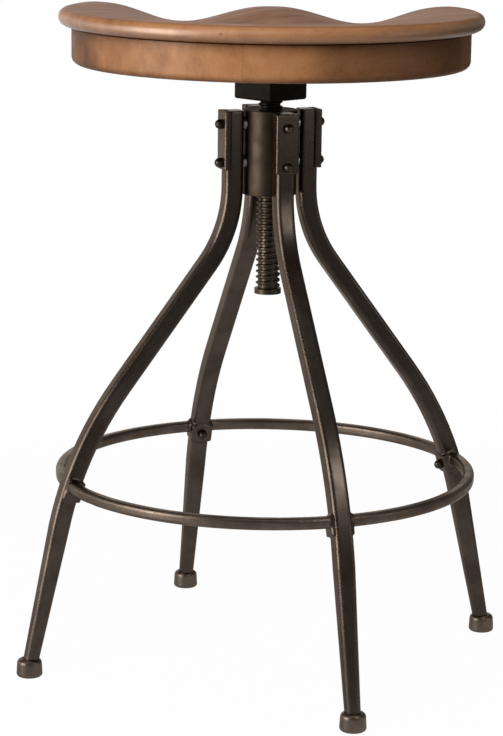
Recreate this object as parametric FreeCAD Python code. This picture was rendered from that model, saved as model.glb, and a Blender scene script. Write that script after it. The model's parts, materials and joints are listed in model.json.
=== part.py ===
import FreeCAD, Part
import math
import os

# Bar stool: a scooped round wooden seat on a thick screw that winds through a hub held by four bent legs.
# Millimetres, +Z up. The origin is on the floor, on the screw's axis. The front of the seat faces +Y.

# Seat block
seat_radius = 203.0
bead_height = 15.4
bead_ledge = 4.6
apron_height = 36.1
apron_edge_radius = 7.0
shadow_groove_height = 2.4
shadow_groove_depth = 2.0
edge_sharpness = 0.4
blank_allowance = 1.0
rim_path_points = 72

# Scoop of the seat, as depths below the rim and distances from the axis
hip_hollow_depth = 15.0
hip_hollow_half_width = 160.0
hip_hollow_half_length = 150.0
hip_hollow_setback = 35.0
thigh_groove_depth = 16.5
thigh_groove_offset = 91.0
thigh_groove_inner_half_width = 86.0
thigh_groove_outer_half_width = 87.0
thigh_groove_start = -80.0
thigh_groove_full = 102.0
front_fall = 11.0
front_fall_start = 38.0
front_fall_flat_half_width = 62.0
front_fall_fade_half_width = 210.0
rim_easing = 19.0
scoop_grid_spacing = 10.0

# Seat plate and socket block
plate_side = 110.0
plate_thickness = 4.0
plate_corner_radius = 8.0
plate_screw_inset = 13.0
plate_screw_diameter = 4.8
plate_screw_grip = 22.0
plate_screw_head_diameter = 9.6
plate_screw_face_diameter = 6.8
plate_screw_head_height = 3.0
pilot_clearance = 0.1
socket_side = 50.4
socket_height = 29.0
socket_roof = 5.0
socket_corner_radius = 3.0
socket_edge_radius = 2.5
socket_turn = 45.0
socket_clearance = 0.1
set_screw_diameter = 8.0
set_screw_height = 14.0
set_screw_clearance = 0.1

# Lead screw and its stop
screw_major_diameter = 23.5
thread_depth = 2.0
thread_pitch = 5.6
thread_crest_width = 1.5
thread_root_gap = 1.9
thread_sink = 0.6
thread_end_gap = 0.3
screw_reach = 92.2
stop_washer_overlap = 0.95
stop_washer_web = 1.9
stop_play = 0.3
stop_head_diameter = 16.4
stop_head_height = 2.5
stop_shoulder_diameter = 10.0
stop_thread_diameter = 8.0
stop_thread_length = 18.0

# Hub, and the clear height shown between it and the socket block
hub_top = 545.0
seat_gap = 10.0
sleeve_length = 81.5
sleeve_wall = 13.95
screw_clearance = 0.3
spacer_diameter = 13.0
spacer_length = 2.9
strap_width = 22.5
strap_thickness = 2.5
strap_end = 6.5
strap_corner_radius = 2.0
hub_bolt_drop = 13.0
hub_bolt_spacing = 37.0

# Dome-head bolts
bolt_diameter = 6.0
bolt_head_diameter = 9.2
bolt_collar_height = 2.2
bolt_dome_height = 4.4
bolt_clearance = 0.15
bolt_tip_gap = 1.0

# Legs
leg_width = 18.0
leg_corner_radius = 4.0
first_leg_angle = 20.5
knee_gap = 17.1
knee_bend_radius = 124.0
spread_angle = 36.9
ankle_height = 221.0
ankle_bend_radius = 347.0
foot_angle = 12.24
foot_width = 14.4
foot_corner_radius = 6.6
sides = ("right", "front", "left", "rear")

# Footrest ring and its saddles
ring_height = 188.0
ring_offset = 1.1
ring_bar = 11.0
ring_bar_corner_radius = 3.4
saddle_wall = 2.2
saddle_length = 20.0
saddle_drop = 3.5
saddle_ear_margin = 0.4
saddle_corner_radius = 2.0
saddle_clearance = 0.3
saddle_bolt_bite = 11.2

# Foot ferrules
ferrule_wall = 4.6
ferrule_flare = 0.6
ferrule_height = 17.5
ferrule_floor = 4.0
ferrule_shoulder_radius = 4.5
ferrule_base_radius = 3.0
ferrule_clearance = 0.15

# A rounded corner takes at most this share of the narrowest side
corner_limit = 0.48

# Directions and angles
origin = FreeCAD.Vector(0, 0, 0)
up = FreeCAD.Vector(0, 0, 1)
across = FreeCAD.Vector(0, 1, 0)
outward = FreeCAD.Vector(1, 0, 0)
spread = math.radians(spread_angle)
foot_lean = math.radians(foot_angle)
full_turn = 360.0
leg_spacing = full_turn / len(sides)
leg_angles = [first_leg_angle + leg_spacing * number for number in range(len(sides))]

# Heights, stacked up from the hub to the seat and down to the end of the screw
socket_underside = hub_top + seat_gap
socket_depth = socket_height - socket_roof
screw_top = socket_underside + socket_depth
plate_underside = socket_underside + socket_height
seat_underside = plate_underside + plate_thickness
seat_top_height = seat_underside + apron_height + bead_height
sleeve_bottom = hub_top - sleeve_length
screw_end_height = sleeve_bottom - screw_reach

# Radii and widths
bead_radius = (bead_height + edge_sharpness) / 2
bead_inner = seat_radius - bead_radius
apron_radius = bead_inner - bead_ledge
screw_core_radius = screw_major_diameter / 2 - thread_depth
screw_bore_radius = screw_major_diameter / 2 + screw_clearance
sleeve_radius = screw_bore_radius + sleeve_wall
stop_washer_radius = screw_bore_radius + stop_washer_overlap
stop_washer_thickness = stop_head_height + 2 * stop_play + stop_washer_web
leg_inner_face = sleeve_radius + spacer_length
leg_hub_radius = leg_inner_face + leg_width / 2
leg_outer_face = leg_inner_face + leg_width
strap_face = leg_outer_face + strap_thickness
strap_height = hub_bolt_drop + hub_bolt_spacing + strap_end
hub_bolt_heights = (hub_top - hub_bolt_drop, hub_top - hub_bolt_drop - hub_bolt_spacing)
bolt_hole_radius = bolt_diameter / 2 + bolt_clearance
hub_bolt_grip = strap_face - screw_bore_radius - bolt_tip_gap
saddle_back = leg_width / 2 + saddle_clearance + saddle_wall
saddle_bolt_grip = saddle_wall + saddle_clearance + saddle_bolt_bite


# Shared shapes
def at(radius, height, sideways=0):
    return FreeCAD.Vector(radius, sideways, height)


def rounded_rectangle(size_x, size_y, corner_radius):
    corner = min(corner_radius, corner_limit * min(size_x, size_y))
    half_x = size_x / 2 - corner
    half_y = size_y / 2 - corner
    corners = [(half_x, half_y), (-half_x, half_y), (-half_x, -half_y), (half_x, -half_y)]
    points = [FreeCAD.Vector(x, y, 0) for x, y in corners + corners[:1]]
    return Part.makePolygon(points).makeOffset2D(corner)


def revolved(outline):
    return Part.Face(Part.Wire(outline)).revolve(origin, up, full_turn)


def line(start, end):
    return Part.makeLine(start, end)


def arc(start, middle, end):
    return Part.Arc(start, middle, end).toShape()


def placed(shape, base, direction):
    turn = FreeCAD.Rotation(up, direction)
    moved = shape.copy()
    moved.Placement = FreeCAD.Placement(base, turn)
    return moved


def turned(shape, angle):
    copy = shape.copy()
    copy.rotate(origin, up, angle)
    return copy


def dome_bolt(grip):
    rim = bolt_head_diameter / 2
    crown = bolt_collar_height + bolt_dome_height
    ball = (rim ** 2 + bolt_dome_height ** 2) / (2 * bolt_dome_height)
    half_angle = math.asin(rim / ball) / 2
    shoulder = at(ball * math.sin(half_angle), crown - ball + ball * math.cos(half_angle))
    outline = [
        line(at(0, 0), at(rim, 0)),
        line(at(rim, 0), at(rim, bolt_collar_height)),
        arc(at(rim, bolt_collar_height), shoulder, at(0, crown)),
        line(at(0, crown), at(0, 0)),
    ]
    shank = Part.makeCylinder(bolt_diameter / 2, grip, at(0, -grip))
    return revolved(outline).fuse(shank).removeSplitter()


# Seat
def ease(value):
    share = min(max(value, 0.0), 1.0)
    return share * share * (3 - 2 * share)


def level_at_rim(x, y):
    radius = max(math.hypot(x, y), rim_easing)
    inside = min(radius, bead_inner)
    past = max(inside - bead_inner + rim_easing, 0.0)
    share = (inside - past ** 2 / (2 * rim_easing)) / radius
    return x * share, y * share


def scoop_depth(x, y):
    x, y = level_at_rim(x, y)
    aside = abs(x)
    hollow = 1 - (x / hip_hollow_half_width) ** 2 - ((y + hip_hollow_setback) / hip_hollow_half_length) ** 2
    hip = hip_hollow_depth * max(hollow, 0.0) ** 2
    inside = aside < thigh_groove_offset
    half_width = thigh_groove_inner_half_width if inside else thigh_groove_outer_half_width
    reach = min(abs(aside - thigh_groove_offset) / half_width, 1.0)
    groove = ease((y - thigh_groove_start) / (thigh_groove_full - thigh_groove_start))
    groove = groove * (1 + math.cos(math.pi * reach)) / 2
    fall = ease((y - front_fall_start) / (seat_radius - front_fall_start))
    fade = (aside - front_fall_flat_half_width) / (front_fall_fade_half_width - front_fall_flat_half_width)
    return hip + groove * thigh_groove_depth + front_fall * fall * (1 - ease(fade))


def seat_surface(x, y):
    return at(x, seat_top_height - scoop_depth(x, y), y)


def scoop_cutter():
    half_count = math.ceil(seat_radius / scoop_grid_spacing) + 1
    steps = [number * scoop_grid_spacing for number in range(-half_count, half_count + 1)]
    surface = Part.BSplineSurface()
    surface.interpolate([[seat_surface(x, y) for y in steps] for x in steps])
    return surface.toShape().extrude(up * seat_top_height)


# The bead keeps its height and follows the wave of the rim, so its outline is swept along the rim
def edge_cutter():
    turns = [2 * math.pi * number / rim_path_points for number in range(rim_path_points)]
    rim = [seat_surface(seat_radius * math.cos(turn), seat_radius * math.sin(turn)) for turn in turns]
    path = Part.BSplineCurve()
    path.interpolate(rim, True)
    top = rim[0].z + edge_sharpness
    bottom = rim[0].z - bead_height
    low = seat_underside - bead_height
    outside = seat_radius + bead_height
    groove_end = bottom - shadow_groove_height
    groove_floor = at(apron_radius - shadow_groove_depth, bottom - shadow_groove_height / 2)
    outline = [
        arc(at(bead_inner, top), at(seat_radius, top - bead_radius), at(bead_inner, bottom)),
        line(at(bead_inner, bottom), at(apron_radius, bottom)),
        line(at(apron_radius, bottom), groove_floor),
        line(groove_floor, at(apron_radius, groove_end)),
        line(at(apron_radius, groove_end), at(apron_radius, low)),
        line(at(apron_radius, low), at(outside, low)),
        line(at(outside, low), at(outside, top)),
        line(at(outside, top), at(bead_inner, top)),
    ]
    sweep = Part.BRepOffsetAPI.MakePipeShell(Part.Wire([path.toShape()]))
    sweep.setBiNormalMode(up)
    sweep.add(Part.Wire(outline), False, False)
    sweep.build()
    sweep.makeSolid()
    return sweep.shape()


def apron_edge_cutter():
    corner = at(apron_radius + edge_sharpness, seat_underside - edge_sharpness)
    center = corner + at(-1, 1) * apron_edge_radius
    start = center - at(0, apron_edge_radius)
    middle = center + at(1, -1) * (apron_edge_radius * math.sqrt(0.5))
    end = center + at(apron_edge_radius, 0)
    return revolved([arc(start, middle, end), line(end, corner), line(corner, start)])


def plate_screw_places():
    half = plate_side / 2 - plate_screw_inset
    square = [FreeCAD.Vector(x, y, plate_underside) for x in (-half, half) for y in (-half, half)]
    return [FreeCAD.Rotation(up, socket_turn).multVec(point) for point in square]


def plate_screw_holes(length):
    radius = plate_screw_diameter / 2 + pilot_clearance
    return [Part.makeCylinder(radius, length, place) for place in plate_screw_places()]


def seat():
    blank_height = seat_top_height + blank_allowance - seat_underside
    blank = Part.makeCylinder(seat_radius + blank_allowance, blank_height, at(0, seat_underside))
    block = blank.cut(scoop_cutter()).cut(edge_cutter()).cut(apron_edge_cutter())
    return block.cut(plate_screw_holes(plate_thickness + plate_screw_grip + pilot_clearance))


# Plate, block and fastenings under the seat
def seat_plate():
    outline = rounded_rectangle(plate_side, plate_side, plate_corner_radius)
    plate = turned(Part.Face(outline).extrude(up * plate_thickness), socket_turn)
    plate.translate(at(0, plate_underside))
    return plate.cut(plate_screw_holes(plate_thickness))


def plate_screws():
    face_radius = plate_screw_face_diameter / 2
    rim_radius = plate_screw_head_diameter / 2
    head = Part.makeCone(face_radius, rim_radius, plate_screw_head_height, at(0, -plate_screw_head_height))
    shank = Part.makeCylinder(plate_screw_diameter / 2, plate_thickness + plate_screw_grip)
    screw = head.fuse(shank).removeSplitter()
    return Part.Compound([placed(screw, place, up) for place in plate_screw_places()])


def set_screw_axis():
    return FreeCAD.Rotation(up, socket_turn).multVec(outward)


def set_screw_cylinder(radius):
    tip = screw_core_radius + socket_clearance
    base = set_screw_axis() * tip + at(0, socket_underside + set_screw_height)
    return Part.makeCylinder(radius, socket_side / 2 - tip, base, set_screw_axis())


def socket_block():
    outline = rounded_rectangle(socket_side, socket_side, socket_corner_radius)
    block = turned(Part.Face(outline).extrude(up * socket_height), socket_turn)
    block.translate(at(0, socket_underside))
    lower_edges = [edge for edge in block.Edges if edge.BoundBox.ZMax < socket_underside + socket_edge_radius]
    block = block.makeFillet(socket_edge_radius, lower_edges)
    bore = Part.makeCylinder(screw_core_radius + socket_clearance, socket_depth, at(0, socket_underside))
    return block.cut([bore, set_screw_cylinder(set_screw_diameter / 2 + set_screw_clearance)])


def socket_set_screw():
    return set_screw_cylinder(set_screw_diameter / 2)


# Lead screw with its loose stop washer
def lead_screw():
    core = Part.makeCylinder(screw_core_radius, screw_top - screw_end_height, at(0, screw_end_height))
    sunk_radius = screw_core_radius - thread_sink
    root_half = (thread_pitch - thread_root_gap) / 2
    crest_half = thread_crest_width / 2
    thread_start = screw_end_height + root_half + thread_end_gap
    thread_length = socket_underside - root_half - thread_end_gap - thread_start
    helix = Part.makeHelix(thread_pitch, thread_length, screw_core_radius)
    profile = Part.makePolygon([
        at(sunk_radius, -root_half),
        at(screw_major_diameter / 2, -crest_half),
        at(screw_major_diameter / 2, crest_half),
        at(sunk_radius, root_half),
        at(sunk_radius, -root_half),
    ])
    ridge = helix.makePipeShell([profile], True, True)
    ridge.translate(at(0, thread_start))
    tip_radius = stop_thread_diameter / 2 + socket_clearance
    tip_hole = Part.makeCylinder(tip_radius, stop_thread_length + stop_play, at(0, screw_end_height))
    return core.fuse(ridge).cut(tip_hole)


def washer_top():
    return screw_end_height - stop_play


def stop_washer():
    bottom = washer_top() - stop_washer_thickness
    disc = Part.makeCylinder(stop_washer_radius, stop_washer_thickness, at(0, bottom))
    hole = Part.makeCylinder(stop_shoulder_diameter / 2 + stop_play, stop_washer_thickness, at(0, bottom))
    recess_depth = stop_head_height + 2 * stop_play
    recess = Part.makeCylinder(stop_head_diameter / 2 + stop_play, recess_depth, at(0, bottom))
    return disc.cut([hole, recess])


def stop_screw():
    head_bottom = washer_top() - stop_washer_thickness + stop_play
    head = Part.makeCylinder(stop_head_diameter / 2, stop_head_height, at(0, head_bottom))
    shoulder_length = screw_end_height - head_bottom
    shoulder = Part.makeCylinder(stop_shoulder_diameter / 2, shoulder_length, at(0, head_bottom))
    thread = Part.makeCylinder(stop_thread_diameter / 2, stop_thread_length, at(0, screw_end_height))
    return head.fuse([shoulder, thread]).removeSplitter()


# Hub
def hub_bolt_holes(start, end):
    return [Part.makeCylinder(bolt_hole_radius, end - start, at(start, height), outward)
            for height in hub_bolt_heights]


def around_the_hub(shapes):
    return Part.Compound([turned(shape, angle) for angle in leg_angles for shape in shapes])


def hub_sleeve():
    tube = Part.makeCylinder(sleeve_radius, sleeve_length, at(0, sleeve_bottom))
    bore = Part.makeCylinder(screw_bore_radius, sleeve_length, at(0, sleeve_bottom))
    holes = around_the_hub(hub_bolt_holes(screw_bore_radius + bolt_tip_gap, leg_inner_face))
    return tube.cut([bore] + holes.Solids)


def hub_spacers():
    tube = Part.makeCylinder(sleeve_radius, hub_top)
    bushes = [Part.makeCylinder(spacer_diameter / 2, leg_inner_face, at(0, height), outward).cut(tube)
              for height in hub_bolt_heights]
    bored = [bush.cut(hub_bolt_holes(0, leg_inner_face)) for bush in bushes]
    return around_the_hub(bored)


def strap():
    outline = rounded_rectangle(strap_height, strap_width, strap_corner_radius)
    plate = placed(Part.Face(outline).extrude(up * strap_thickness), origin, outward)
    plate.translate(at(leg_outer_face, hub_top - strap_height / 2))
    return plate.cut(hub_bolt_holes(leg_outer_face, strap_face))


def hub_bolts():
    bolt = dome_bolt(hub_bolt_grip)
    return around_the_hub([placed(bolt, at(strap_face, height), outward) for height in hub_bolt_heights])


# Legs: the path of one leg lies in the XZ plane and leans outwards by an angle from the vertical
shin_direction = at(math.sin(spread), -math.cos(spread))
foot_direction = at(math.sin(foot_lean), -math.cos(foot_lean))
knee_tangent = knee_bend_radius * math.tan(spread / 2)
knee_start = at(leg_hub_radius, hub_top - strap_height - knee_gap)
knee_corner = knee_start - up * knee_tangent
knee_end = knee_corner + shin_direction * knee_tangent
ankle_corner = knee_corner + shin_direction * ((knee_corner.z - ankle_height) / math.cos(spread))
ankle_tangent = ankle_bend_radius * math.tan((spread - foot_lean) / 2)
ankle_start = ankle_corner - shin_direction * ankle_tangent
ankle_end = ankle_corner + foot_direction * ankle_tangent
ankle_center = ankle_start - at(math.cos(spread), math.sin(spread)) * ankle_bend_radius


def foot_line(height):
    return ankle_corner + foot_direction * ((ankle_height - height) / math.cos(foot_lean))


def shin_line(height):
    return ankle_corner + shin_direction * ((ankle_height - height) / math.cos(spread))


def leg_at(height):
    if height > ankle_start.z:
        return shin_line(height), spread
    if height < ankle_end.z:
        return foot_line(height), foot_lean
    lean = math.asin((height - ankle_center.z) / ankle_bend_radius)
    return ankle_center + at(math.cos(lean), math.sin(lean)) * ankle_bend_radius, lean


leg_end = foot_line(ferrule_floor + foot_width / 2 * math.sin(foot_lean))


def section(outline, point, lean):
    moved = outline.copy()
    moved.rotate(origin, across, -math.degrees(lean))
    moved.translate(point)
    return moved


def taper_section(share, growth):
    width = leg_width + (foot_width - leg_width) * share + growth
    corner = leg_corner_radius + (foot_corner_radius - leg_corner_radius) * share + growth / 2
    place = ankle_end + (leg_end - ankle_end) * share
    return section(rounded_rectangle(width, width, corner), place, foot_lean)


def leg_taper(start_share, growth):
    return Part.makeLoft([taper_section(start_share, growth), taper_section(1, growth)], True, True)


def leg():
    square = rounded_rectangle(leg_width, leg_width, leg_corner_radius)
    top = Part.Face(section(square, at(leg_hub_radius, hub_top), 0)).extrude(at(0, knee_start.z - hub_top))
    knee_center = knee_start + at(knee_bend_radius, 0)
    knee = Part.Face(section(square, knee_start, 0)).revolve(knee_center, -across, spread_angle)
    shin = Part.Face(section(square, knee_end, spread)).extrude(ankle_start - knee_end)
    ankle_turn = spread_angle - foot_angle
    ankle = Part.Face(section(square, ankle_start, spread)).revolve(ankle_center, across, ankle_turn)
    bar = top.fuse([knee, shin, ankle, leg_taper(0, 0)]).removeSplitter()
    hub_holes = hub_bolt_holes(leg_inner_face - leg_width, leg_outer_face + leg_width)
    return bar.cut([saddle_bolt_hole()] + hub_holes)


# Footrest ring: four arcs between saddles that clasp the legs
ring_radius = leg_at(ring_height)[0].x + ring_offset
saddle_center, saddle_lean = leg_at(ring_height - saddle_drop)
saddle_outward = at(math.cos(saddle_lean), math.sin(saddle_lean))
saddle_upward = at(-math.sin(saddle_lean), math.cos(saddle_lean))
saddle_bolt_seat = saddle_center - saddle_outward * saddle_back


def saddle_bolt_hole():
    length = saddle_bolt_grip + bolt_tip_gap
    return Part.makeCylinder(bolt_hole_radius, length, saddle_bolt_seat, saddle_outward)


def saddle():
    ear_reach = ring_offset + ring_bar / 2 + saddle_ear_margin
    outer = rounded_rectangle(saddle_back + ear_reach, 2 * saddle_back, saddle_corner_radius)
    outer.translate(at((ear_reach - saddle_back) / 2, 0))
    inner = rounded_rectangle(2 * leg_width, leg_width + 2 * saddle_clearance, leg_corner_radius)
    inner.translate(at(leg_width / 2 - saddle_clearance, 0))
    clip = Part.Face(outer).cut(Part.Face(inner)).Faces[0]
    start = saddle_center - saddle_upward * (saddle_length / 2)
    bar = section(clip, start, saddle_lean).extrude(saddle_upward * saddle_length)
    return bar.cut(saddle_bolt_hole())


def saddle_bolts():
    bolt = placed(dome_bolt(saddle_bolt_grip), saddle_bolt_seat, -saddle_outward)
    return around_the_hub([bolt])


def footrest_arcs():
    outline = rounded_rectangle(ring_bar, ring_bar, ring_bar_corner_radius)
    bar = placed(Part.Face(outline), at(ring_radius, ring_height), across)
    ring = bar.revolve(origin, up, full_turn)
    slot = Part.makeBox(2 * ring_radius, 2 * saddle_back, 2 * ring_bar)
    slot.translate(at(0, ring_height - ring_bar, -saddle_back))
    return ring.cut(around_the_hub([slot]).Solids).Solids


def ferrule():
    corner = min(foot_corner_radius, corner_limit * foot_width)
    foot_half_diagonal = (foot_width / 2 - corner) * math.sqrt(2) + corner
    top = foot_half_diagonal + ferrule_wall
    base = top + ferrule_flare
    edge = ferrule_base_radius
    edge_middle = at(base - edge, edge) + at(1, -1) * (edge * math.sqrt(0.5))
    shoulder = ferrule_shoulder_radius
    shoulder_center = at(top - shoulder, ferrule_height - shoulder)
    shoulder_middle = shoulder_center + at(1, 1) * (shoulder * math.sqrt(0.5))
    outline = [
        line(at(0, 0), at(base - edge, 0)),
        arc(at(base - edge, 0), edge_middle, at(base, edge)),
        line(at(base, edge), at(top, ferrule_height - shoulder)),
        arc(at(top, ferrule_height - shoulder), shoulder_middle, at(top - shoulder, ferrule_height)),
        line(at(top - shoulder, ferrule_height), at(0, ferrule_height)),
        line(at(0, ferrule_height), at(0, 0)),
    ]
    cup = revolved(outline)
    cup.translate(at(foot_line(ferrule_height / 2).x, 0))
    mouth = (ankle_end.z - 2 * ferrule_height) / (ankle_end.z - leg_end.z)
    return cup.cut(leg_taper(mouth, 2 * ferrule_clearance))


# Every node, by name
nodes = {
    "seat": seat(),
    "seat_plate": seat_plate(),
    "plate_screws": plate_screws(),
    "socket_block": socket_block(),
    "socket_set_screw": socket_set_screw(),
    "lead_screw": lead_screw(),
    "stop_washer": stop_washer(),
    "stop_screw": stop_screw(),
    "hub_sleeve": hub_sleeve(),
    "hub_spacers": hub_spacers(),
    "hub_bolts": hub_bolts(),
    "saddle_bolts": saddle_bolts(),
}
for name, piece in (("leg", leg()), ("strap", strap()), ("saddle", saddle()), ("ferrule", ferrule())):
    for side, angle in zip(sides, leg_angles):
        nodes[name + "_" + side] = turned(piece, angle)
arcs = footrest_arcs()
for number, side in enumerate(sides):
    middle_angle = math.radians(leg_angles[number] + leg_spacing / 2)
    middle_point = at(math.cos(middle_angle), 0, math.sin(middle_angle)) * ring_radius
    nearest = min(arcs, key=lambda piece: (piece.CenterOfMass - middle_point).Length)
    nodes["footrest_" + side + "_" + sides[(number + 1) % len(sides)]] = nearest

os.makedirs("parts", exist_ok=True)
for name, shape in nodes.items():
    shape.exportStep("parts/" + name + ".step")
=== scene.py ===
import json
import math

import bmesh
import bpy
import numpy
from mathutils import Matrix, Vector


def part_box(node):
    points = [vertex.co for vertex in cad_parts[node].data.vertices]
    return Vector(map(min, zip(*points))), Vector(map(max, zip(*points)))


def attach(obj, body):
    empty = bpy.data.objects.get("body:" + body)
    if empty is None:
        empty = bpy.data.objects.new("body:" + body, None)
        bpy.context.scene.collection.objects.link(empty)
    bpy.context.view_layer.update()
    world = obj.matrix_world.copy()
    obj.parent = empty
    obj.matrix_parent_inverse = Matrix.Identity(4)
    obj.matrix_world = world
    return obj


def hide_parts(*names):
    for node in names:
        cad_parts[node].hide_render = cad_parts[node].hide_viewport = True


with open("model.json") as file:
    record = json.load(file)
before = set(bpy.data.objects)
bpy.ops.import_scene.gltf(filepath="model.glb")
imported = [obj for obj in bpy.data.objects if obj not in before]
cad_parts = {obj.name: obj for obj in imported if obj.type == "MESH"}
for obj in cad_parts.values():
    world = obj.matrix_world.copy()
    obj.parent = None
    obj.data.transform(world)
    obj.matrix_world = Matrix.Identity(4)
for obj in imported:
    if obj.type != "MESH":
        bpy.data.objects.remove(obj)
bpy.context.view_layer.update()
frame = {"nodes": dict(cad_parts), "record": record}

scene = bpy.context.scene
scene.view_settings.view_transform = "Standard"

# The photograph's frame, and the place and aim of its camera
image_width = 503
image_height = 736
focal_length_in_pixels = 2626.6
camera_place = Vector((0.0, -2.5176, 0.8245))
camera_pan = -0.0058
camera_pitch = 0.2089
camera_roll = 0.0139
film_size = 36.0
view_reach = 100.0

# Floor: a pale round. The gloss sees a share of its white, around the stool and towards the
# backdrop, which goes from one value to the other between two edges
floor_radius = 1.5
floor_segments = 96
floor_gap = 0.0004
floor_grey = 0.50
floor_roughness = 0.9
floor_whiteness = 0.98
floor_fade_start = 0.5
floor_fade_end = 0.97
floor_gloss_near = (0.50, 0.18)
floor_gloss_near_edges = (0.45, 0.95)
floor_gloss_far = (0.0, 0.65)
floor_gloss_far_edges = (-0.2, 0.6)

# Room: the side on which the white backdrop stands, and the edges between which the backdrop,
# the ceiling, and the foot and the head of the dim walls come in
backdrop_direction = (-0.35, 0.937, 0.0)
backdrop_edges = (0.68, 0.98)
ceiling_edges = (0.72, 0.96)
wall_foot_edges = (-0.14, 0.06)
wall_head_edges = (0.30, 0.75)

# What every lamp faces
stool_middle = Vector((0.0, 0.0, 0.36))

# Seat: the turned block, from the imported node's own box
seat_low, seat_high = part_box("seat")
seat_radius = (seat_high.x - seat_low.x) / 2
seat_top = seat_high.z
seat_underside = seat_low.z
bead_height = 0.0154
bead_lift = 0.0004
bead_ledge = 0.0046
apron_edge_radius = 0.007
shadow_groove_height = 0.0018
shadow_groove_depth = 0.0012
bead_radius = (bead_height + bead_lift) / 2
bead_inner = seat_radius - bead_radius
apron_radius = bead_inner - bead_ledge

# Scoop of the seat, as depths below the rim and distances from the axis
hip_hollow_depth = 0.015
hip_hollow_half_width = 0.160
hip_hollow_half_length = 0.150
hip_hollow_setback = 0.035
thigh_groove_depth = 0.0165
thigh_groove_offset = 0.091
thigh_groove_inner_half_width = 0.086
thigh_groove_outer_half_width = 0.080
thigh_groove_start = -0.080
thigh_groove_full = 0.102
front_fall = 0.011
front_fall_start = 0.038
front_fall_flat_half_width = 0.062
front_fall_fade_half_width = 0.210
rim_easing = 0.019

# Fineness of the seat's mesh
seat_spokes = 288
scoop_rings = 52
bead_steps = 16
apron_steps = 6
edge_steps = 8
underside_rings = 8

# Boards of the seat: the way the grain runs, the glue lines as distances across it, and where
# dark heartwood shows across and along it
grain_angle = math.radians(38)
glue_lines = (-0.133, -0.044, 0.045, 0.134)
board_tones = (0.70, 0.72, 0.50, 0.56, 0.60)
glue_line_width = 0.0005
heart_edges = (-0.163, -0.179)
streak_edges = (0.006, 0.034)
streak_end = -0.15
streak_fade = 0.03
bead_foot_fade = 0.0005

# Pin knots, as azimuth in degrees, drop below the rim, and size
pin_knots = ((257.3, 0.0070, 0.0011), (318.0, 0.036, 0.0008))
knot_fade = (1.8, 0.5)

# Figure of the wood: noise scales along, across and up the boards, and shares in the tone
figure_scales = (7.0, 85.0, 60.0)
cloud_scales = (16.0, 30.0, 26.0)
fibre_scales = (45.0, 1500.0, 900.0)
pore_scales = (70.0, 900.0, 700.0)
pore_edges = (0.66, 0.78)
figure_share = 0.55
cloud_share = 0.75
fibre_share = 0.46
board_share = 0.55
grain_waver = 0.016
grain_waver_scale = 7.0
board_offset_up = 4.0
board_offset_along = 7.0
fibre_relief = 0.5
wood_relief_strength = 0.10
wood_relief_depth = 0.0004

# Stain, painted shade and lacquer of the wood: shares of each darkening, and slopes between which
# they change
pore_darkening = 0.35
glue_darkening = 0.3
knot_darkening = 0.7
painted_shade_darkening = 0.5
painted_shade_darkening_reach = 0.016
top_shade_slopes = (0.70, 0.95)
figure_roughness_edges = (0.3, 0.7)
wood_roughness = (0.62, 0.50)
wood_gloss = 0.1
lacquer_slopes = (0.30, 0.75)
lacquer_on_top = 0.25
lacquer_on_apron = 0.10
lacquer_roughness = 0.38
lacquer_index = 1.75

# Patina of the metal, with its painted corner shade and painted shadow: noise scales, reaches, and
# shares of each effect
patina_patch_scale = 38.0
patina_speck_scale = 420.0
patina_speck_share = 0.18
rub_patchiness = 0.45
rub_polish = 0.10
# Painted shade in the metal's corners: reach, share, and how dark
painted_shade_reach = 0.0025
painted_shade_share = 0.15
painted_shade_tone = 0.35
# Painted shadow near black above a height, on the screw under the socket block
painted_shadow_share = 0.85
painted_shadow_fade_below = 0.003
painted_shadow_fade_above = 0.001
screw_shadow_drop = 0.010
skin_scale = 1400.0
skin_share = 0.5
skin_strength = 0.045
skin_depth = 0.0003

# Masks of the shared effects: samples, noise scale, and the edges between which each mask comes in
mask_samples = 6
rub_edges = (0.02, 0.20)
rub_patch_scale = 55.0
rub_patch_edges = (0.35, 0.65)
patch_edges = (0.30, 0.70)
speck_edges = (0.35, 0.68)
# Occlusion values between which the painted corner shade comes in
painted_shade_edges = (0.75, 0.25)

# Straps at the leg tops, with a weld bead down each edge
strap_width = 0.0225
strap_thickness = 0.0025
strap_edge_radius = 0.0005
strap_edge_steps = 2
strap_bead_depth = 0.0045
strap_bead_half_width = 0.0105

# Welds that join the footrest's arcs and saddles to the legs
leg_sides = ("right", "front", "left", "rear")
weld_half_height = 0.015
weld_half_width = 0.019
weld_voxel = 0.0007
weld_merge_gap = 1e-6
weld_rounds = 40
weld_fill_share = 0.5
weld_round_share = 0.12
weld_inset = 0.00012


# Seat shape
def ease(value):
    share = min(max(value, 0.0), 1.0)
    return share * share * (3 - 2 * share)


def level_at_rim(x, y):
    radius = max(math.hypot(x, y), rim_easing)
    inside = min(radius, bead_inner)
    past = max(inside - bead_inner + rim_easing, 0.0)
    share = (inside - past ** 2 / (2 * rim_easing)) / radius
    return x * share, y * share


def scoop_depth(x, y):
    x, y = level_at_rim(x, y)
    aside = abs(x)
    across = (x / hip_hollow_half_width) ** 2
    along = ((y + hip_hollow_setback) / hip_hollow_half_length) ** 2
    hip = hip_hollow_depth * max(1 - across - along, 0.0) ** 2
    inside = aside < thigh_groove_offset
    half_width = thigh_groove_inner_half_width if inside else thigh_groove_outer_half_width
    reach = min(abs(aside - thigh_groove_offset) / half_width, 1.0)
    groove = ease((y - thigh_groove_start) / (thigh_groove_full - thigh_groove_start))
    groove = groove * (1 + math.cos(math.pi * reach)) / 2
    fall = ease((y - front_fall_start) / (seat_radius - front_fall_start))
    fade_width = front_fall_fade_half_width - front_fall_flat_half_width
    fade = ease((aside - front_fall_flat_half_width) / fade_width)
    return hip + groove * thigh_groove_depth + front_fall * fall * (1 - fade)


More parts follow.
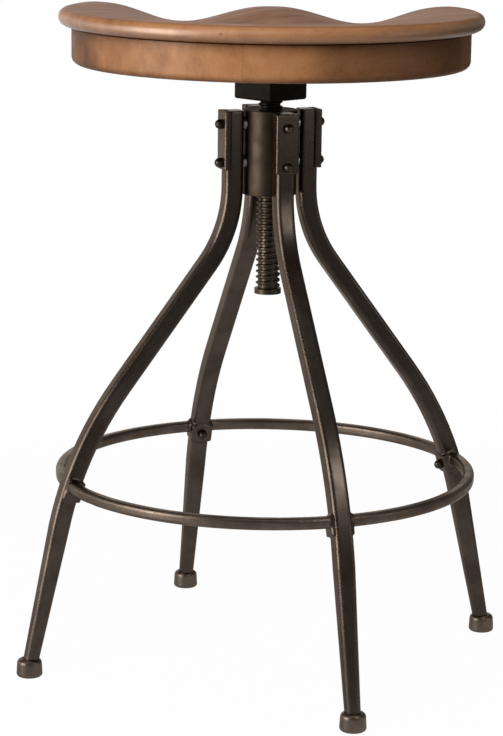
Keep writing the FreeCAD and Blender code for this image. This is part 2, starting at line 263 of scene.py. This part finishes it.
def spoke_outline(turn):
    """Points of the seat's section along one spoke: radius, height, and if its edge is crisp."""
    along, aside = math.cos(turn), math.sin(turn)
    crease = math.asin(1 - bead_lift / bead_radius)
    top_radius = bead_inner + bead_radius * math.cos(crease)
    points = []
    for ring in range(1, scoop_rings + 1):
        radius = top_radius * ring / scoop_rings
        points.append((radius, seat_top - scoop_depth(radius * along, radius * aside), False))
    rim = points[-1][1]
    bead_middle = rim + bead_lift - bead_radius
    for step in range(1, bead_steps + 1):
        angle = crease - (crease + math.pi / 2) * step / bead_steps
        height = bead_middle + bead_radius * math.sin(angle)
        points.append((bead_inner + bead_radius * math.cos(angle), height, False))
    ledge = rim - bead_height
    points.append((apron_radius, ledge, True))
    points.append((apron_radius - shadow_groove_depth, ledge - shadow_groove_height / 2, True))
    wall_top = ledge - shadow_groove_height
    wall_foot = seat_underside + apron_edge_radius
    for step in range(apron_steps + 1):
        height = wall_top + (wall_foot - wall_top) * step / apron_steps
        points.append((apron_radius, height, step == 0))
    for step in range(1, edge_steps + 1):
        angle = -math.pi / 2 * step / edge_steps
        radius = apron_radius - apron_edge_radius + apron_edge_radius * math.cos(angle)
        points.append((radius, wall_foot + apron_edge_radius * math.sin(angle), False))
    flat_radius = apron_radius - apron_edge_radius
    for ring in range(1, underside_rings):
        points.append((flat_radius * (1 - ring / underside_rings), seat_underside, False))
    return points


def mesh_object(name, mesh_data, material):
    mesh = bpy.data.meshes.new(name)
    mesh_data.to_mesh(mesh)
    mesh_data.free()
    mesh.materials.append(material)
    piece = bpy.data.objects.new(name, mesh)
    scene.collection.objects.link(piece)
    return piece


def carve_seat(material):
    block = bmesh.new()
    turns = [2 * math.pi * spoke / seat_spokes for spoke in range(seat_spokes)]
    spokes = []
    crisp_rings = []
    for turn in turns:
        outline = spoke_outline(turn)
        crisp_rings = [number for number, point in enumerate(outline) if point[2]]
        spokes.append([block.verts.new((radius * math.cos(turn), radius * math.sin(turn), height))
                       for radius, height, crisp in outline])
    top = block.verts.new((0, 0, seat_top - scoop_depth(0, 0)))
    bottom = block.verts.new((0, 0, seat_underside))
    for spoke, this in enumerate(spokes):
        following = spokes[(spoke + 1) % seat_spokes]
        block.faces.new((top, this[0], following[0]))
        for ring in range(len(this) - 1):
            block.faces.new((this[ring], this[ring + 1], following[ring + 1], following[ring]))
        block.faces.new((this[-1], bottom, following[-1]))
    for face in block.faces:
        face.smooth = True
    for spoke, this in enumerate(spokes):
        following = spokes[(spoke + 1) % seat_spokes]
        for ring in crisp_rings:
            block.edges.get((this[ring], following[ring])).smooth = False
    return mesh_object("seat_block", block, material)


# Straps
def lay_strap(side, material):
    low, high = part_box("strap_" + side)
    middle = (low + high) / 2
    outward = Vector((middle.x, middle.y, 0)).normalized()
    aside = Vector((-outward.y, outward.x, 0))
    half_width = strap_width / 2
    face = strap_thickness / 2
    root = -face - strap_bead_depth
    section = ((-half_width, face), (-half_width, -face), (-strap_bead_half_width, root),
               (strap_bead_half_width, root), (half_width, -face), (half_width, face))
    bar = bmesh.new()
    ends = []
    for height in (low.z, high.z):
        corners = [middle + aside * across + outward * out for across, out in section]
        ends.append([bar.verts.new((corner.x, corner.y, height)) for corner in corners])
    bottom, top = ends
    bar.faces.new(bottom[::-1])
    bar.faces.new(top)
    for number in range(len(section)):
        after = (number + 1) % len(section)
        bar.faces.new((bottom[number], bottom[after], top[after], top[number]))
    bmesh.ops.recalc_face_normals(bar, faces=bar.faces)
    bmesh.ops.bevel(bar, geom=bar.edges[:], offset=strap_edge_radius,
                    segments=strap_edge_steps, affect="EDGES")
    piece = mesh_object("welded_strap_" + side, bar, material)
    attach(piece, "base")
    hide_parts("strap_" + side)


# Welded joints of the footrest
def cut_away(solid, point, outward):
    """Removes what lies beyond a plane and closes the solids there."""
    everything = solid.verts[:] + solid.edges[:] + solid.faces[:]
    cut = bmesh.ops.bisect_plane(solid, geom=everything, plane_co=point, plane_no=outward,
                                 clear_outer=True)
    edges = [item for item in cut["geom_cut"] if isinstance(item, bmesh.types.BMEdge)]
    bmesh.ops.holes_fill(solid, edges=edges, sides=0)


def fuse(solid):
    """Joins overlapping solids into one even mesh."""
    mesh = bpy.data.meshes.new("weld_stock")
    solid.to_mesh(mesh)
    solid.free()
    stock = bpy.data.objects.new("weld_stock", mesh)
    scene.collection.objects.link(stock)
    remesh = stock.modifiers.new("fuse", "REMESH")
    remesh.mode = "VOXEL"
    remesh.voxel_size = weld_voxel
    evaluated = stock.evaluated_get(bpy.context.evaluated_depsgraph_get())
    fused = bpy.data.meshes.new_from_object(evaluated)
    bpy.data.objects.remove(stock)
    return fused


def flow_weld(mesh):
    """Fills the inner corners as molten metal does, and rounds the outer ones a little."""
    points = numpy.empty(len(mesh.vertices) * 3)
    mesh.vertices.foreach_get("co", points)
    points = points.reshape(-1, 3)
    ends = numpy.empty(len(mesh.edges) * 2, dtype=int)
    mesh.edges.foreach_get("vertices", ends)
    first, second = ends.reshape(-1, 2).T
    neighbours = numpy.bincount(ends, minlength=len(points))[:, None]
    normals = numpy.empty(points.size)
    for _ in range(weld_rounds + 1):
        mesh.vertices.foreach_set("co", points.ravel())
        mesh.update()
        mesh.vertex_normals.foreach_get("vector", normals)
        outward = normals.reshape(-1, 3)
        total = numpy.zeros_like(points)
        numpy.add.at(total, first, points[second])
        numpy.add.at(total, second, points[first])
        step = total / neighbours - points
        filling = numpy.sum(step * outward, axis=1, keepdims=True) > 0
        points = points + step * numpy.where(filling, weld_fill_share, weld_round_share)
    mesh.vertices.foreach_set("co", (points - outward * weld_inset).ravel())
    mesh.update()


def weld_joint():
    """Leg, saddle and the ends of two arcs at the right leg, flowed together."""
    low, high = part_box("saddle_right")
    middle = (low + high) / 2
    inward = Vector((-middle.x, -middle.y, 0)).normalized()
    aside = Vector((-inward.y, inward.x, 0))
    solid = bmesh.new()
    for node_name in ("leg_right", "saddle_right", "footrest_right_front", "footrest_rear_right"):
        solid.from_mesh(frame["nodes"][node_name].data)
    bmesh.ops.remove_doubles(solid, verts=solid.verts, dist=weld_merge_gap)
    for axis, reach in ((Vector((0, 0, 1)), weld_half_height), (aside, weld_half_width)):
        for outward in (axis, -axis):
            cut_away(solid, middle + outward * reach, outward)
    mesh = fuse(solid)
    flow_weld(mesh)
    for face in mesh.polygons:
        face.use_smooth = True
    return mesh, middle


def weld_joints(material):
    joint, middle = weld_joint()
    for side in leg_sides:
        low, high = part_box("saddle_" + side)
        place = (low + high) / 2
        turn = math.atan2(place.y, place.x) - math.atan2(middle.y, middle.x)
        weld = bmesh.new()
        weld.from_mesh(joint)
        bmesh.ops.rotate(weld, verts=weld.verts, matrix=Matrix.Rotation(turn, 3, "Z"))
        piece = mesh_object("weld_" + side, weld, material)
        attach(piece, "base")
        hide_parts("saddle_" + side)
    bpy.data.meshes.remove(joint)


# Building materials from nodes
def new_node(tree, kind, **settings):
    made = tree.nodes.new("ShaderNode" + kind)
    for name, value in settings.items():
        setattr(made, name, value)
    return made


def feed(tree, socket, value):
    """Links a socket to another node's output, or sets it to a plain number, vector or colour."""
    if isinstance(value, bpy.types.NodeSocket):
        tree.links.new(value, socket)
    else:
        socket.default_value = value


def calc(tree, operation, first, second=0.0, third=0.0, clamp=False):
    made = new_node(tree, "Math", operation=operation, use_clamp=clamp)
    for socket, value in zip(made.inputs, (first, second, third)):
        feed(tree, socket, value)
    return made.outputs[0]


def vector_calc(tree, operation, first, second):
    made = new_node(tree, "VectorMath", operation=operation)
    feed(tree, made.inputs[0], first)
    feed(tree, made.inputs[1], second)
    gives_number = operation in ("DOT_PRODUCT", "DISTANCE")
    return made.outputs["Value" if gives_number else "Vector"]


def split(tree, vector):
    made = new_node(tree, "SeparateXYZ")
    feed(tree, made.inputs[0], vector)
    return made.outputs


def combine(tree, *values):
    made = new_node(tree, "CombineXYZ")
    for socket, value in zip(made.inputs, values):
        feed(tree, socket, value)
    return made.outputs[0]


def remap(tree, value, low, high, to_low=0.0, to_high=1.0):
    made = new_node(tree, "MapRange", interpolation_type="SMOOTHSTEP")
    for name, setting in (("Value", value), ("From Min", low), ("From Max", high),
                          ("To Min", to_low), ("To Max", to_high)):
        feed(tree, made.inputs[name], setting)
    return made.outputs["Result"]


def noise(tree, place, scale, detail=3.0, roughness=0.5, distortion=0.0):
    made = new_node(tree, "TexNoise")
    for name, setting in (("Vector", place), ("Scale", scale), ("Detail", detail),
                          ("Roughness", roughness), ("Distortion", distortion)):
        feed(tree, made.inputs[name], setting)
    return made.outputs["Fac"]


def grain_noise(tree, grain, scales, detail, roughness, distortion=0.0):
    stretched = vector_calc(tree, "MULTIPLY", grain, scales)
    return noise(tree, stretched, 1.0, detail, roughness, distortion)


def blend(tree, share, first, second, kind="MIX"):
    made = new_node(tree, "Mix", data_type="RGBA", blend_type=kind)
    for name, setting in (("Factor_Float", share), ("A_Color", first), ("B_Color", second)):
        feed(tree, next(socket for socket in made.inputs if socket.identifier == name), setting)
    return next(socket for socket in made.outputs if socket.identifier == "Result_Color")


def tinge(tree, colour, mask, share, towards):
    return blend(tree, calc(tree, "MULTIPLY", mask, share), colour, towards)


def colour_ramp(tree, value, stops):
    made = new_node(tree, "ValToRGB")
    ramp = made.color_ramp
    while len(ramp.elements) < len(stops):
        ramp.elements.new(0.5)
    for element, (position, colour) in zip(ramp.elements, stops):
        element.position = position
        element.color = colour
    feed(tree, made.inputs["Fac"], value)
    return made.outputs["Color"]


def rgb(red, green, blue):
    return (red, green, blue, 1.0)


def new_group(name, inputs, outputs):
    group = bpy.data.node_groups.new(name, "ShaderNodeTree")
    for label, kind, default in inputs:
        socket = group.interface.new_socket(label, in_out="INPUT", socket_type="NodeSocket" + kind)
        socket.default_value = default
    for label, kind in outputs:
        group.interface.new_socket(label, in_out="OUTPUT", socket_type="NodeSocket" + kind)
    entry = group.nodes.new("NodeGroupInput")
    leaving = group.nodes.new("NodeGroupOutput")
    return group, entry.outputs, leaving.inputs


def use_group(tree, group, **settings):
    made = tree.nodes.new("ShaderNodeGroup")
    made.node_tree = group
    for name, value in settings.items():
        feed(tree, made.inputs[name.replace("_", " ").capitalize()], value)
    return made.outputs


def new_material(name):
    material = bpy.data.materials.new(name)
    material.use_nodes = True
    tree = material.node_tree
    return material, tree, tree.nodes["Principled BSDF"]


def bump(tree, height, strength, distance, surface=None):
    made = new_node(tree, "Bump")
    for name, setting in (("Height", height), ("Strength", strength), ("Distance", distance)):
        feed(tree, made.inputs[name], setting)
    if surface:
        feed(tree, made.inputs["Normal"], surface)
    return made.outputs["Normal"]


def object_place(tree):
    return new_node(tree, "TexCoord").outputs["Object"]


# Effects shared by the finishes
def make_rubbed_edges():
    """Softly rounded edges, and a patchy mask of where a finish has been rubbed thin on them."""
    group, given, result = new_group("rubbed_edges", (
        ("Place", "Vector", (0, 0, 0)),
        ("Edge width", "Float", 0.002),
        ("Patchiness", "Float", 0.5),
    ), (("Rub", "Float"), ("Rounded", "Vector")))
    rounded = new_node(group, "Bevel", samples=mask_samples)
    feed(group, rounded.inputs["Radius"], given["Edge width"])
    facing = new_node(group, "NewGeometry").outputs["Normal"]
    agreement = vector_calc(group, "DOT_PRODUCT", rounded.outputs["Normal"], facing)
    edge = remap(group, calc(group, "SUBTRACT", 1.0, agreement), *rub_edges)
    patches = noise(group, given["Place"], rub_patch_scale, detail=4.0, roughness=0.6)
    patches = remap(group, patches, *rub_patch_edges)
    kept = calc(group, "SUBTRACT", 1.0, calc(group, "MULTIPLY", patches, given["Patchiness"]))
    feed(group, result["Rub"], calc(group, "MULTIPLY", edge, kept, clamp=True))
    feed(group, result["Rounded"], rounded.outputs["Normal"])
    return group


def make_mottling():
    """Cloudy patches at two sizes, for patina and uneven stain."""
    group, given, result = new_group("mottling", (
        ("Place", "Vector", (0, 0, 0)),
        ("Patch scale", "Float", 30.0),
        ("Speck scale", "Float", 260.0),
    ), (("Patches", "Float"), ("Specks", "Float")))
    patches = noise(group, given["Place"], given["Patch scale"], detail=4.0, roughness=0.55,
                    distortion=0.4)
    specks = noise(group, given["Place"], given["Speck scale"], detail=3.0, roughness=0.6)
    feed(group, result["Patches"], remap(group, patches, *patch_edges))
    feed(group, result["Specks"], remap(group, specks, *speck_edges))
    return group


def make_painted_corner_shade():
    """Mask of inner corners, from ambient occlusion, for painted shade."""
    group, given, result = new_group("painted_corner_shade", (("Reach", "Float", 0.006),),
                                     (("Shade", "Float"),))
    occlusion = new_node(group, "AmbientOcclusion", samples=mask_samples)
    feed(group, occlusion.inputs["Distance"], given["Reach"])
    feed(group, result["Shade"], remap(group, occlusion.outputs["AO"], *painted_shade_edges))
    return group


rubbed_edges = make_rubbed_edges()
mottling = make_mottling()
painted_corner_shade = make_painted_corner_shade()


# Finishes
def seat_wood():
    material, tree, shader = new_material("stained_seat_wood")
    place = object_place(tree)
    turned = new_node(tree, "VectorRotate", rotation_type="Z_AXIS")
    feed(tree, turned.inputs["Vector"], place)
    turned.inputs["Angle"].default_value = -grain_angle
    along, across, height = split(tree, turned.outputs[0])
    # Which board of the block this is, and the thin dark glue lines between boards
    board_tone = board_tones[0]
    glue = 0.0
    for line, before, after in zip(glue_lines, board_tones, board_tones[1:]):
        past = calc(tree, "GREATER_THAN", across, line)
        board_tone = calc(tree, "MULTIPLY_ADD", past, after - before, board_tone)
        nearness = calc(tree, "ABSOLUTE", calc(tree, "SUBTRACT", across, line))
        glue = calc(tree, "MAXIMUM", glue, remap(tree, nearness, glue_line_width, 0.0))
    # Grain coordinates: long along the board, fine across it, with a slow waver
    offset_up = calc(tree, "MULTIPLY", board_tone, board_offset_up)
    waver_place = combine(tree, along, across, calc(tree, "ADD", height, offset_up))
    waver = calc(tree, "SUBTRACT", noise(tree, waver_place, grain_waver_scale, detail=2.0), 0.5)
    wavy_across = calc(tree, "MULTIPLY_ADD", waver, grain_waver, across)
    offset_along = calc(tree, "MULTIPLY", board_tone, board_offset_along)
    grain = combine(tree, calc(tree, "ADD", along, offset_along), wavy_across, height)
    figure = grain_noise(tree, grain, figure_scales, detail=5.0, roughness=0.6, distortion=0.3)
    cloud = grain_noise(tree, grain, cloud_scales, detail=4.0, roughness=0.6, distortion=0.8)
    fibre = grain_noise(tree, grain, fibre_scales, detail=2.0, roughness=0.6)
    pores = grain_noise(tree, grain, pore_scales, detail=1.0, roughness=0.5)
    pores = remap(tree, pores, *pore_edges)
    tone = 0.5
    for pattern, share in ((figure, figure_share), (cloud, cloud_share), (fibre, fibre_share)):
        tone = calc(tree, "MULTIPLY_ADD", calc(tree, "SUBTRACT", pattern, 0.5), share, tone)
    board_swing = calc(tree, "SUBTRACT", board_tone, 0.5)
    tone = calc(tree, "MULTIPLY_ADD", board_swing, board_share, tone, clamp=True)
    stain = colour_ramp(tree, tone, (
        (0.15, rgb(0.128, 0.050, 0.018)),
        (0.42, rgb(0.280, 0.119, 0.046)),
        (0.60, rgb(0.375, 0.166, 0.067)),
        (0.90, rgb(0.470, 0.225, 0.099)),
    ))
    # Dark heartwood that the turning cut open below the bead: the outermost board, and a streak
    # in the ends of the boards opposite
    bead_foot = seat_top - bead_height
    below_bead = remap(tree, height, bead_foot + bead_foot_fade, bead_foot - bead_foot_fade)
    heart = remap(tree, wavy_across, *heart_edges)
    at_end = remap(tree, along, streak_end + streak_fade, streak_end)
    streak = calc(tree, "MULTIPLY", remap(tree, wavy_across, *streak_edges), at_end)
    heart = calc(tree, "MULTIPLY", calc(tree, "MAXIMUM", heart, streak), below_bead)
    stain = blend(tree, heart, stain, rgb(0.59, 0.58, 0.59), "MULTIPLY")
    stain = tinge(tree, stain, pores, pore_darkening, rgb(0.11, 0.045, 0.02))
    stain = tinge(tree, stain, glue, glue_darkening, rgb(0.09, 0.04, 0.02))
    # Pin knots
    knot = 0.0
    knot_rim, knot_core = knot_fade
    for azimuth, drop, size in pin_knots:
        turn = math.radians(azimuth)
        radius = seat_radius if drop < bead_height else apron_radius
        spot = (radius * math.cos(turn), radius * math.sin(turn), seat_top - drop)
        distance = vector_calc(tree, "DISTANCE", place, spot)
        mark = remap(tree, distance, size * knot_rim, size * knot_core)
        knot = calc(tree, "MAXIMUM", knot, mark)
    stain = tinge(tree, stain, knot, knot_darkening, rgb(0.06, 0.025, 0.012))
    # Painted shade in the wood's inner corners, mostly the bead's shadow on the apron below it
    shade = use_group(tree, painted_corner_shade, reach=painted_shade_darkening_reach)["Shade"]
    stain = tinge(tree, stain, shade, painted_shade_darkening, rgb(0.075, 0.033, 0.016))
    # Painted shade: the scooped top made darker, as it takes less light than the apron
    upward = split(tree, new_node(tree, "NewGeometry").outputs["Normal"])["Z"]
    top = remap(tree, upward, *top_shade_slopes)
    stain = blend(tree, top, stain, rgb(0.76, 0.73, 0.70), "MULTIPLY")
    feed(tree, shader.inputs["Base Color"], stain)
    rough = remap(tree, figure, *figure_roughness_edges, *wood_roughness)
    feed(tree, shader.inputs["Roughness"], rough)
    shader.inputs["Specular IOR Level"].default_value = wood_gloss
    # Lacquer: whole on the bead, and thin on the scooped top and the apron
    lacquer = remap(tree, upward, *lacquer_slopes, 1.0, lacquer_on_top)
    thinning = remap(tree, below_bead, 0.0, 1.0, 1.0, lacquer_on_apron)
    feed(tree, shader.inputs["Coat Weight"], calc(tree, "MULTIPLY", lacquer, thinning))
    shader.inputs["Coat Roughness"].default_value = lacquer_roughness
    shader.inputs["Coat IOR"].default_value = lacquer_index
    relief = calc(tree, "SUBTRACT", calc(tree, "MULTIPLY", fibre, fibre_relief), pores)
    relief = bump(tree, relief, wood_relief_strength, wood_relief_depth)
    feed(tree, shader.inputs["Normal"], relief)
    return material


def metal_finish(name, dark, light, rubbed, roughness, edge_width, rub_amount, edge_tint,
                 metallic=1.0, gloss=0.5, shaded_above=None):
    """Mottled metal, rubbed on its edges, with painted shade in its corners, and a painted shadow
    above a height.
    """
    material, tree, shader = new_material(name)
    shader.inputs["Specular Tint"].default_value = edge_tint
    shader.inputs["Specular IOR Level"].default_value = gloss
    shader.inputs["Metallic"].default_value = metallic
    place = object_place(tree)
    clouds = use_group(tree, mottling, place=place, patch_scale=patina_patch_scale,
                       speck_scale=patina_speck_scale)
    edges = use_group(tree, rubbed_edges, place=place, edge_width=edge_width,
                      patchiness=rub_patchiness)
    rub = edges["Rub"]
    shade = use_group(tree, painted_corner_shade, reach=painted_shade_reach)["Shade"]
    colour = blend(tree, clouds["Patches"], dark, light)
    colour = tinge(tree, colour, clouds["Specks"], patina_speck_share, light)
    colour = tinge(tree, colour, rub, rub_amount, rubbed)
    # Painted shade: corners darkened towards a darker copy of the metal's colour
    painted_shade_colour = rgb(*[painted_shade_tone * part for part in dark[:3]])
    colour = tinge(tree, colour, shade, painted_shade_share, painted_shade_colour)
    if shaded_above:
        # Painted shadow: the metal goes near black above this height, where the socket block
        # shades it
        height = split(tree, place)["Z"]
        shadow_above = remap(tree, height, shaded_above - painted_shadow_fade_below,
                     shaded_above + painted_shadow_fade_above)
        colour = tinge(tree, colour, shadow_above, painted_shadow_share, rgb(0.006, 0.005, 0.004))
    feed(tree, shader.inputs["Base Color"], colour)
    low, high = roughness
    worn = remap(tree, clouds["Patches"], 0.0, 1.0, high, low)
    worn = calc(tree, "SUBTRACT", worn, calc(tree, "MULTIPLY", rub, rub_polish))
    feed(tree, shader.inputs["Roughness"], worn)
    skin = calc(tree, "MULTIPLY", noise(tree, place, skin_scale, detail=2.0), skin_share)
    skin = calc(tree, "ADD", clouds["Specks"], skin)
    skin = bump(tree, skin, skin_strength, skin_depth, edges["Rounded"])
    feed(tree, shader.inputs["Normal"], skin)
    return material


def bronze_frame(name, edge_width):
    return metal_finish(name, dark=rgb(0.063, 0.048, 0.038), light=rgb(0.095, 0.074, 0.060),
                        rubbed=rgb(0.15, 0.122, 0.100), roughness=(0.25, 0.31),
                        edge_width=edge_width, rub_amount=0.15,
                        edge_tint=rgb(0.80, 0.72, 0.65))


# A lighter copy of the frame's bronze for the footrest and the ferrules: painted light, as the
# lower frame is lit more; its rubbed edges are wear
def lit_and_worn_foot_bronze():
    return metal_finish("lit_and_worn_foot_bronze",
                        dark=rgb(0.104, 0.080, 0.063), light=rgb(0.160, 0.126, 0.101),
                        rubbed=rgb(0.27, 0.212, 0.168), roughness=(0.28, 0.36),
                        edge_width=0.0025, rub_amount=0.3,
                        edge_tint=rgb(0.82, 0.75, 0.68))


# A darker copy of the frame's bronze for the hub sleeve: painted shade, where the seat shades the
# hub
def shaded_hub_bronze():
    return metal_finish("shaded_copy_hub_bronze",
                        dark=rgb(0.026, 0.019, 0.014), light=rgb(0.052, 0.038, 0.028),
                        rubbed=rgb(0.12, 0.09, 0.068), roughness=(0.44, 0.54),
                        edge_width=0.0015, rub_amount=0.2,
                        edge_tint=rgb(0.70, 0.62, 0.55))


def dark_hub():
    return metal_finish("blackened_hub",
                        dark=rgb(0.005, 0.004, 0.003), light=rgb(0.012, 0.009, 0.007),
                        rubbed=rgb(0.07, 0.05, 0.036), roughness=(0.52, 0.62),
                        edge_width=0.0010, rub_amount=0.25,
                        edge_tint=rgb(0.50, 0.45, 0.40), metallic=0.30, gloss=0.2)


def worn_hardware():
    return metal_finish("worn_bolts",
                        dark=rgb(0.035, 0.028, 0.022), light=rgb(0.080, 0.064, 0.050),
                        rubbed=rgb(0.42, 0.34, 0.27), roughness=(0.28, 0.42),
                        edge_width=0.0012, rub_amount=0.6,
                        edge_tint=rgb(0.80, 0.74, 0.68))


# The screw's top, under the socket block, gets a painted shadow
def screw_steel():
    return metal_finish("oiled_screw_steel",
                        dark=rgb(0.048, 0.038, 0.028), light=rgb(0.086, 0.068, 0.050),
                        rubbed=rgb(0.36, 0.29, 0.22), roughness=(0.30, 0.45),
                        edge_width=0.0010, rub_amount=0.7,
                        edge_tint=rgb(0.80, 0.74, 0.68),
                        shaded_above=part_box("socket_block")[0].z - screw_shadow_drop)


def turned_bushes():
    return metal_finish("turned_bushes",
                        dark=rgb(0.30, 0.27, 0.24), light=rgb(0.44, 0.40, 0.36),
                        rubbed=rgb(0.60, 0.55, 0.50), roughness=(0.34, 0.46),
                        edge_width=0.0008, rub_amount=0.5,
                        edge_tint=rgb(1.0, 0.97, 0.94))


def zinc_fasteners():
    return metal_finish("zinc_plated_screws",
                        dark=rgb(0.30, 0.29, 0.27), light=rgb(0.44, 0.42, 0.39),
                        rubbed=rgb(0.60, 0.58, 0.55), roughness=(0.26, 0.40),
                        edge_width=0.0008, rub_amount=0.5,
                        edge_tint=rgb(1.0, 1.0, 1.0), metallic=0.95)


# Studio
def aim_camera():
    forward = Vector((math.sin(camera_pan) * math.cos(camera_pitch),
                      math.cos(camera_pan) * math.cos(camera_pitch),
                      -math.sin(camera_pitch)))
    level_right = Vector((math.cos(camera_pan), -math.sin(camera_pan), 0.0))
    level_up = level_right.cross(forward)
    right = math.cos(camera_roll) * level_right + math.sin(camera_roll) * level_up
    above = math.cos(camera_roll) * level_up - math.sin(camera_roll) * level_right
    camera = bpy.data.cameras.new("photo_camera")
    camera.sensor_width = film_size
    camera.lens = focal_length_in_pixels * film_size / max(image_width, image_height)
    camera.clip_end = view_reach
    stand = bpy.data.objects.new("photo_camera", camera)
    turn = Matrix((right, above, -forward)).transposed()
    stand.matrix_world = Matrix.Translation(camera_place) @ turn.to_4x4()
    scene.collection.objects.link(stand)
    scene.camera = stand


def soft_box(name, azimuth, elevation, distance, width, height, power, mirrored,
             flagged_off=None, tint=(1.0, 1.0, 1.0)):
    """Area light that faces the stool's middle, and lights either the gloss or the rest.

    Its azimuth counts from the camera's side towards the right. A flag may keep it off one piece.
    """
    side = math.radians(azimuth)
    lift = math.radians(elevation)
    direction = Vector((math.sin(side) * math.cos(lift), -math.cos(side) * math.cos(lift),
                        math.sin(lift)))
    lamp = bpy.data.lights.new(name, "AREA")
    lamp.shape = "RECTANGLE"
    lamp.size = width
    lamp.size_y = height
    lamp.energy = power
    lamp.color = tint
    box = bpy.data.objects.new(name, lamp)
    box.location = stool_middle + direction * distance
    box.rotation_euler = direction.to_track_quat("Z", "Y").to_euler()
    box.visible_glossy = mirrored
    box.visible_diffuse = not mirrored
    box.visible_camera = False
    scene.collection.objects.link(box)
    if flagged_off:
        shaded = bpy.data.collections.new(name + "_flag")
        shaded.objects.link(flagged_off)
        shaded.collection_objects[0].light_linking.link_state = "EXCLUDE"
        box.light_linking.receiver_collection = shaded


def white_world(fill, below, level_wall, high_wall, ceiling):
    """White all round for the camera, and for the gloss a white backdrop, walls and a ceiling."""
    world = bpy.data.worlds.new("white_studio")
    scene.world = world
    world.use_nodes = True
    tree = world.node_tree
    path = new_node(tree, "LightPath")
    direction = new_node(tree, "TexCoord").outputs["Generated"]
    towards_backdrop = vector_calc(tree, "DOT_PRODUCT", direction, backdrop_direction)
    backdrop = remap(tree, towards_backdrop, *backdrop_edges)
    upward = split(tree, direction)["Z"]
    wall = remap(tree, upward, *wall_foot_edges, below, level_wall)
    wall_head = remap(tree, upward, *wall_head_edges, 0.0, level_wall - high_wall)
    wall = calc(tree, "SUBTRACT", wall, wall_head)
    overhead = remap(tree, upward, *ceiling_edges, 0.0, ceiling)
    backdrop = calc(tree, "MAXIMUM", calc(tree, "MAXIMUM", backdrop, wall), overhead)
    mirrored = calc(tree, "ADD", path.outputs["Is Glossy Ray"],
                    path.outputs["Is Transmission Ray"], clamp=True)
    level = calc(tree, "MULTIPLY", mirrored, calc(tree, "SUBTRACT", backdrop, fill))
    level = calc(tree, "ADD", level, fill)
    level = calc(tree, "MAXIMUM", level, path.outputs["Is Camera Ray"])
    background = tree.nodes["Background"]
    background.inputs["Color"].default_value = rgb(1.0, 1.0, 1.0)
    feed(tree, background.inputs["Strength"], level)


def pale_floor():
    """Round white floor that keeps the stool's shadow and fades into the white at its rim."""
    sheet = bmesh.new()
    bmesh.ops.create_circle(sheet, cap_ends=True, radius=floor_radius, segments=floor_segments,
                            matrix=Matrix.Translation((0, 0, -floor_gap)))
    material, tree, shader = new_material("pale_floor")
    shader.inputs["Base Color"].default_value = rgb(floor_grey, floor_grey, floor_grey)
    shader.inputs["Roughness"].default_value = floor_roughness
    shader.inputs["Specular IOR Level"].default_value = 0.0
    glow = new_node(tree, "Emission")
    glow.inputs["Color"].default_value = rgb(1.0, 1.0, 1.0)
    path = new_node(tree, "LightPath")
    towards_backdrop = vector_calc(tree, "DOT_PRODUCT", object_place(tree), backdrop_direction)
    reach = vector_calc(tree, "DISTANCE", object_place(tree), (0, 0, 0))
    near_share = remap(tree, reach, *floor_gloss_near_edges, *floor_gloss_near)
    far_share = remap(tree, towards_backdrop, *floor_gloss_far_edges, *floor_gloss_far)
    gloss_share = calc(tree, "MAXIMUM", near_share, far_share)
    mirrored = calc(tree, "MULTIPLY", path.outputs["Is Glossy Ray"], gloss_share)
    shown = calc(tree, "ADD", path.outputs["Is Camera Ray"],
                 path.outputs["Is Transmission Ray"], clamp=True)
    shown = calc(tree, "ADD", shown, mirrored, clamp=True)
    whiteness = remap(tree, reach, floor_fade_start * floor_radius,
                      floor_fade_end * floor_radius, floor_whiteness, 1.0)
    mixed = new_node(tree, "MixShader")
    feed(tree, mixed.inputs[0], calc(tree, "MULTIPLY", shown, whiteness))
    feed(tree, mixed.inputs[1], shader.outputs[0])
    feed(tree, mixed.inputs[2], glow.outputs[0])
    feed(tree, tree.nodes["Material Output"].inputs["Surface"], mixed.outputs[0])
    mesh_object("floor", sheet, material)


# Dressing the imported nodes
def dress(node_name, material):
    piece = frame["nodes"][node_name]
    piece.data.materials.clear()
    piece.data.materials.append(material)


finishes = {
    "seat_wood": seat_wood(),
    "bronze_frame": bronze_frame("oiled_bronze_frame", edge_width=0.003),
    "dark_hub": dark_hub(),
    "worn_hardware": worn_hardware(),
    "screw_steel": screw_steel(),
    "zinc_fasteners": zinc_fasteners(),
}
for subpart in frame["record"]["subparts"]:
    dress(subpart["node"], finishes[subpart["material_slot"]])

seat_block = carve_seat(finishes["seat_wood"])
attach(seat_block, "seat")
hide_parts("seat")

# The hub sleeve gets the painted-shade copy of the bronze
dress("hub_sleeve", shaded_hub_bronze())
dress("hub_spacers", turned_bushes())
# The footrest and ferrules get the painted-light copy of the bronze
lit_and_worn_foot = lit_and_worn_foot_bronze()
for node_name in frame["nodes"]:
    if node_name.startswith(("footrest_", "ferrule_")):
        dress(node_name, lit_and_worn_foot)
strap_bronze = bronze_frame("oiled_bronze_straps", edge_width=0.0015)
for leg_side in leg_sides:
    lay_strap(leg_side, strap_bronze)
weld_joints(finishes["bronze_frame"])

aim_camera()
soft_box("front_softbox", azimuth=-26, elevation=38, distance=2.9, width=2.4, height=2.0,
         power=92, mirrored=False)
soft_box("left_softbox", azimuth=-80, elevation=12, distance=2.6, width=1.2, height=1.2,
         power=9, mirrored=False)
soft_box("left_card", azimuth=-60, elevation=4, distance=2.4, width=1.3, height=2.0,
         power=66, mirrored=True, tint=(1.0, 0.97, 0.92))
soft_box("left_wing", azimuth=-100, elevation=3, distance=2.4, width=1.6, height=1.4,
         power=9, mirrored=True)
soft_box("right_card", azimuth=72, elevation=3, distance=2.4, width=0.35, height=0.8,
         power=2, mirrored=True)
soft_box("near_panel", azimuth=41, elevation=20, distance=0.97, width=0.30, height=0.29,
         power=1.0, mirrored=True, flagged_off=seat_block)
white_world(fill=0.045, below=0.10, level_wall=0.27, high_wall=0.13, ceiling=0.8)
pale_floor()
